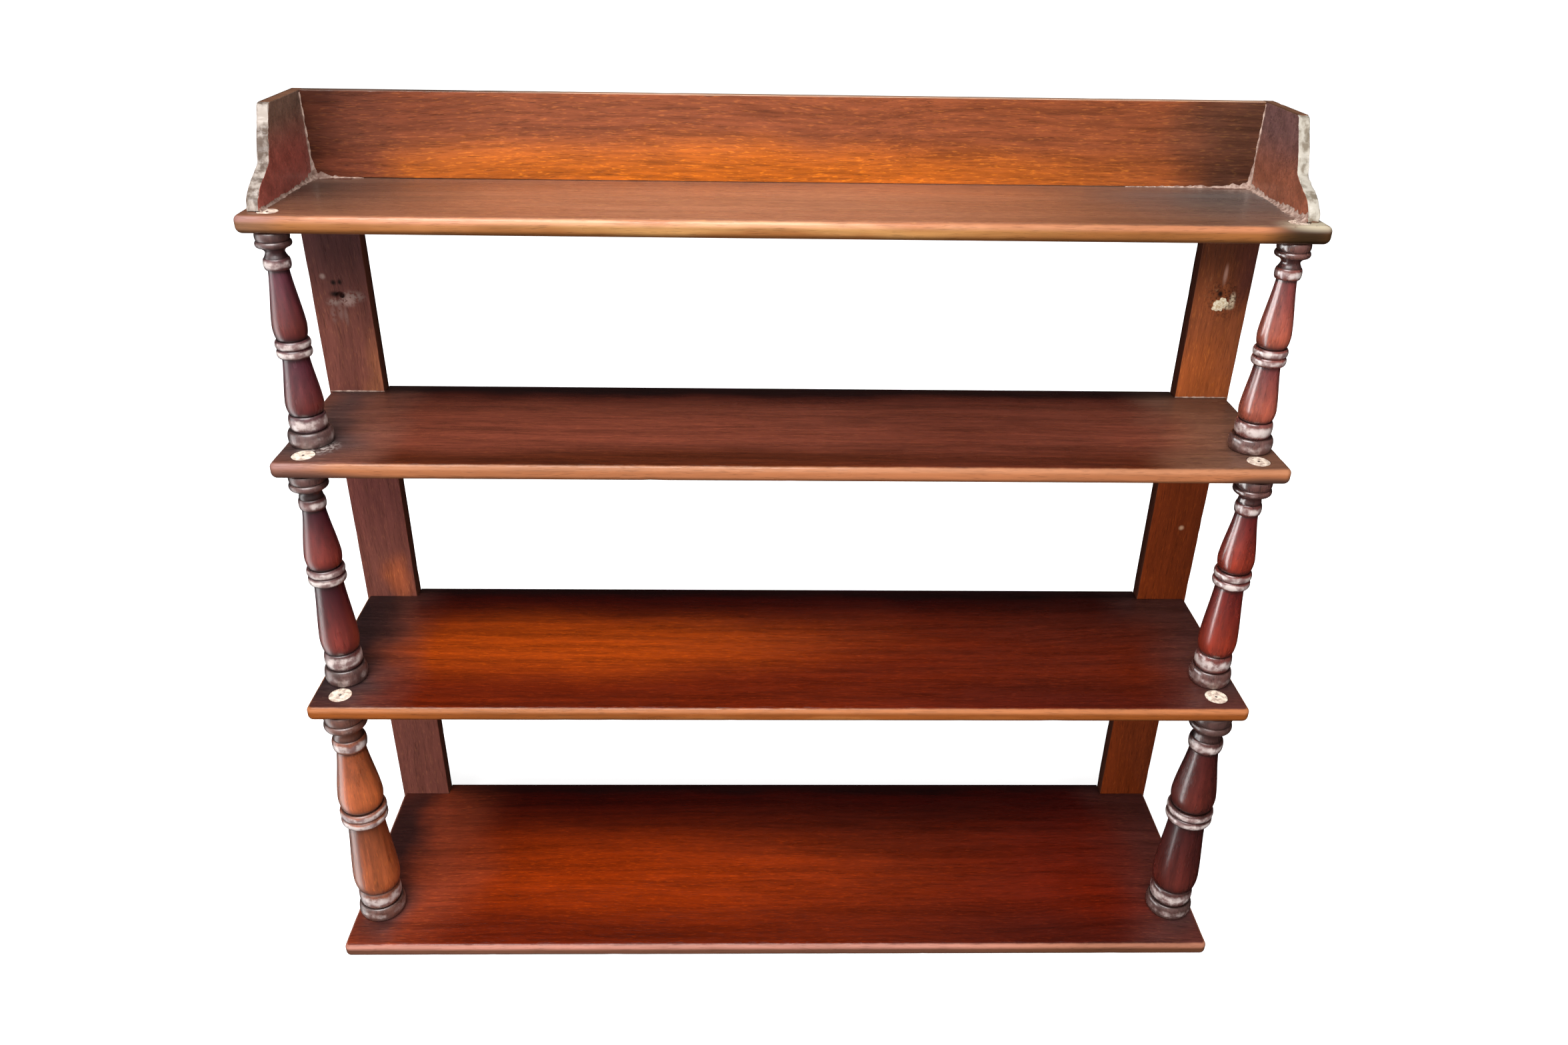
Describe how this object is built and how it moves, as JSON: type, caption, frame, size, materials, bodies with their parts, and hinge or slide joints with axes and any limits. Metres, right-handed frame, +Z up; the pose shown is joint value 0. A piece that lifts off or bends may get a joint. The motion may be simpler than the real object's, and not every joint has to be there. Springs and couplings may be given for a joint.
{
  "type": "wall shelf",
  "caption": "Mahogany wall shelf of graduated depth, with turned spindles at the front, flat uprights at the back and a low gallery round the top.",
  "frame": {"origin": "on the rear edge of the top shelf, at the middle of its width and thickness, in the plane of the wall", "axes": "+X along the shelves to the right as seen from the front, +Y into the wall, +Z up"},
  "size_m": [0.915, 0.252, 0.833],
  "materials": {
    "mahogany": "French-polished red-brown mahogany, worn and dusty at the edges and corners",
    "turned_mahogany": "glossy dark mahogany turnings, paler where the rings are rubbed",
    "screw_steel": "dull plain steel",
    "filler": "chalky cream filler"
  },
  "bodies": {
    "root": {"bottom_shelf": "mahogany", "gallery_back": "mahogany", "gallery_back_screw_1": "screw_steel", "gallery_back_screw_2": "screw_steel", "gallery_back_screw_3": "screw_steel", "gallery_left_pin_1": "screw_steel", "gallery_left_pin_2": "screw_steel", "gallery_left_screw_1": "screw_steel", "gallery_left_screw_2": "screw_steel", "gallery_left_side": "mahogany", "gallery_right_pin_1": "screw_steel", "gallery_right_pin_2": "screw_steel", "gallery_right_screw_1": "screw_steel", "gallery_right_screw_2": "screw_steel", "gallery_right_side": "mahogany", "left_upright": "mahogany", "left_upright_screw_1": "screw_steel", "left_upright_screw_2": "screw_steel", "left_upright_screw_3": "screw_steel", "left_upright_screw_4": "screw_steel", "lower_left_spindle": "turned_mahogany", "lower_right_spindle": "turned_mahogany", "middle_left_spindle": "turned_mahogany", "middle_right_spindle": "turned_mahogany", "right_upright": "mahogany", "right_upright_screw_1": "screw_steel", "right_upright_screw_2": "screw_steel", "right_upright_screw_3": "screw_steel", "right_upright_screw_4": "screw_steel", "second_shelf": "mahogany", "third_shelf": "mahogany", "top_shelf": "mahogany", "upper_left_spindle": "turned_mahogany", "upper_right_spindle": "turned_mahogany", "wall_hole_plug": "filler"}
  },
  "joints": []
}
